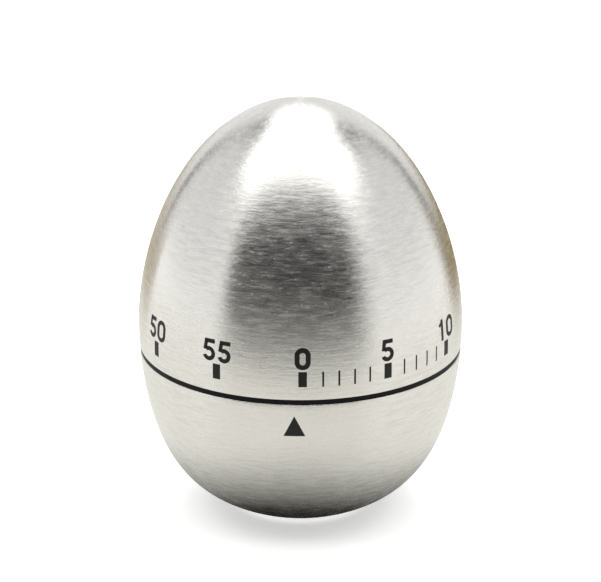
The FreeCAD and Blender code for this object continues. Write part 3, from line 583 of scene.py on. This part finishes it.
def turned(name, piece, dark, light, rough):
    """Turned metal: lines 0.12 mm apart round the middle of a node."""
    made, tree, shader = material(name + "_" + piece)
    low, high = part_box(piece)
    place = node(tree, "ShaderNodeTexCoord")
    centred = node(tree, "ShaderNodeMapping",
                   {"Location": (-(low.x + high.x) / 2, -(low.y + high.y) / 2, 0)},
                   Vector=place.outputs["Object"])
    apart = node(tree, "ShaderNodeSeparateXYZ", Vector=centred.outputs["Vector"])
    flat = node(tree, "ShaderNodeCombineXYZ", X=apart.outputs["X"], Y=apart.outputs["Y"])
    reach = node(tree, "ShaderNodeVectorMath", {"operation": "LENGTH"}, Vector=flat.outputs["Vector"])
    along = node(tree, "ShaderNodeCombineXYZ", X=reach.outputs["Value"], Y=apart.outputs["Z"])
    grain = node(tree, "ShaderNodeTexNoise", {"Scale": 1 / (0.12 * MM), "Detail": 2.0},
                 Vector=along.outputs["Vector"])
    finish_metal(tree, shader, grain, dark, light, rough, 0.004 * MM)
    wear((piece,), made)


BRASS = ("#B08D4A", "#D9BC7C", 0.30)
STEEL = ("#A3A4A6", "#CFCFD1", 0.26)
NICKEL = ("#C3BFB6", "#DEDAD0", 0.16)
BLUED = ("#2C3550", "#56617F", 0.28)
BRONZE = ("#A4703F", "#C99A66", 0.32)
plate_brass = rolled("rolled_brass", *BRASS)
wear(("bottom_plate", "top_plate", "cam_disc"), plate_brass)
wheels = [name for name in nodes if name.endswith("_wheel")]
for names, (kind, look) in (
    (wheels + ["balance_bar", "hammer_head"], ("brass", BRASS)),
    (["bell"], ("nickel", NICKEL)),
    (["mainspring"], ("blued_steel", BLUED)),
    (["clutch_spring"], ("phosphor_bronze", BRONZE)),
):
    for name in names:
        turned(kind, name, *look)
print("turned brass wheels", len(wheels))

# %% steel for everything else
DONE = ("lower_shell", "upper_shell", "lower_housing", "upper_liner", "base_plate", "seam_ring",
        "foot_ring", "bottom_plate", "top_plate", "cam_disc", "balance_bar", "hammer_head", "bell",
        "mainspring", "clutch_spring")
steel = [name for name in nodes if name not in DONE and name not in wheels]
for name in steel:
    turned("steel", name, *STEEL)
print("turned steel", len(steel))

# %% [markdown]
# ## The studio
# Brushed steel shows the room, so most of its look is light. A pale paper floor lies under the timer,
# lit a little from below as on a light table. One soft box stands each side, a bright pair hangs
# overhead and one stands behind. The dark of the room in front, between the side boxes, gives the egg
# its dark stripe. Glowing cards that only mirror rays meet are painted reflections: the steel mirrors
# them in place of the paper, a dark one in front, painted shade under the egg and tinted light at the
# rims.

# %% floor and lights
bpy.ops.mesh.primitive_plane_add(size=6, location=(0, 0, 0))
floor = bpy.context.object
floor.name = "floor"
paper, tree, shader = material("studio_paper")
shader.inputs["Base Color"].default_value = linear("#F6F6F5")
shader.inputs["Roughness"].default_value = 0.9
shader.inputs["Emission Color"].default_value = linear("#FFFFFF")
shader.inputs["Emission Strength"].default_value = 0.5
floor.data.materials.append(paper)


def soft_box(name, spot, facing, width, height, brightness):
    """A soft box at a spot, shining along a direction."""
    bpy.ops.object.light_add(type="AREA", location=spot)
    light = bpy.context.object
    light.name = name
    light.rotation_euler = Vector(facing).to_track_quat("-Z", "Y").to_euler()
    light.data.shape = "RECTANGLE"
    light.data.size = width
    light.data.size_y = height
    light.data.energy = brightness * math.pi * width * height
    light.visible_camera = False


soft_box("left_box", (-1.0, 0.15, 0.80), (1, 0, 0), 1.74, 1.60, 0.87)
soft_box("right_box", (1.0, 0.05, 0.80), (-1, 0, 0), 1.86, 1.60, 0.87)
soft_box("back_box", (0, 1.6, 0.85), (0, -1, 0), 2.6, 1.6, 0.95)
soft_box("roof_box", (0, -0.15, 1.0), (0, 0, -1), 1.50, 0.75, 2.3)
soft_box("roof_back_box", (0, 0.65, 1.0), (0, 0, -1), 0.80, 0.90, 2.3)


# %% painted reflections: cards that only mirror rays meet
def card(name, brightness, colour="#FFFFFF"):
    """Make the active object a glowing card that only mirror rays meet: a painted reflection."""
    piece = bpy.context.object
    piece.name = name
    made, tree, shader = material(name)
    shader.inputs["Base Color"].default_value = linear("#000000")
    shader.inputs["Specular IOR Level"].default_value = 0
    shader.inputs["Emission Color"].default_value = linear(colour)
    shader.inputs["Emission Strength"].default_value = brightness
    piece.data.materials.append(made)
    piece.visible_camera = piece.visible_diffuse = piece.visible_shadow = False
    return tree, shader


def floor_flag(name, bearing, spread, near, far, level, brightness, colour="#FFFFFF"):
    """A painted reflection: a glowing card on the paper, a wedge on a bearing round the timer, 0 at the
    camera.
    """
    deselect()
    bpy.ops.mesh.primitive_plane_add(size=1)
    bpy.ops.object.mode_set(mode="EDIT")
    mesh = bmesh.from_edit_mesh(bpy.context.object.data)
    for vert in mesh.verts:
        angle = math.radians(bearing + math.copysign(spread, vert.co.x)) + camera_turn
        reach = near if vert.co.y > 0 else far
        vert.co = Vector((math.sin(angle) * reach, -math.cos(angle) * reach, level))
    bmesh.update_edit_mesh(bpy.context.object.data)
    bpy.ops.object.mode_set(mode="OBJECT")
    card(name, brightness, colour)


# Painted dark reflection: a near-black glowing wedge in front that only the steel mirrors, giving its
# dark stripe.
floor_flag("front_painted_dark_reflection", -2, 47, 0.31, 1.8, 2 * MM, 0.012)
# Painted reflections: two warm glowing wedges behind the sides tint the steel's rims, olive on the right
# and tan on the left.
floor_flag("right_painted_reflection", 148, 22, 0.16, 1.2, 3 * MM, 0.36, "#F4DDA0")
floor_flag("left_painted_reflection", -148, 22, 0.16, 1.2, 3 * MM, 0.62, "#F6EAD2")

# Painted shade in the reflections: this disc glows 0.02 within 20 mm and 1.12 beyond 48 mm, so the steel
# darkens towards its bottom.
deselect()
bpy.ops.mesh.primitive_circle_add(vertices=64, radius=320 * MM, fill_type="NGON", location=(0, 0, 1 * MM))
tree, shader = card("under_painted_shade", 0.0, "#F4F4EE")
place = node(tree, "ShaderNodeTexCoord")
oval = node(tree, "ShaderNodeMapping", {"Scale": (1.25, 1, 1)}, Vector=place.outputs["Object"])
reach = node(tree, "ShaderNodeVectorMath", {"operation": "LENGTH"}, Vector=oval.outputs["Vector"])
glow = node(tree, "ShaderNodeMapRange", {"From Min": 20 * MM, "From Max": 48 * MM, "To Min": 0.02,
                                         "To Max": 1.12}, Value=reach.outputs["Value"])
tree.links.new(glow.outputs["Result"], shader.inputs["Emission Strength"])

# %% colours as the eye sees them, and the dark room
bpy.context.scene.view_settings.view_transform = "Standard"
world = bpy.data.worlds.new("studio_room")
bpy.context.scene.world = world
world.use_nodes = True
backdrop = world.node_tree.nodes["Background"]
backdrop.inputs["Color"].default_value = linear("#FFFFFF")
backdrop.inputs["Strength"].default_value = 0.015
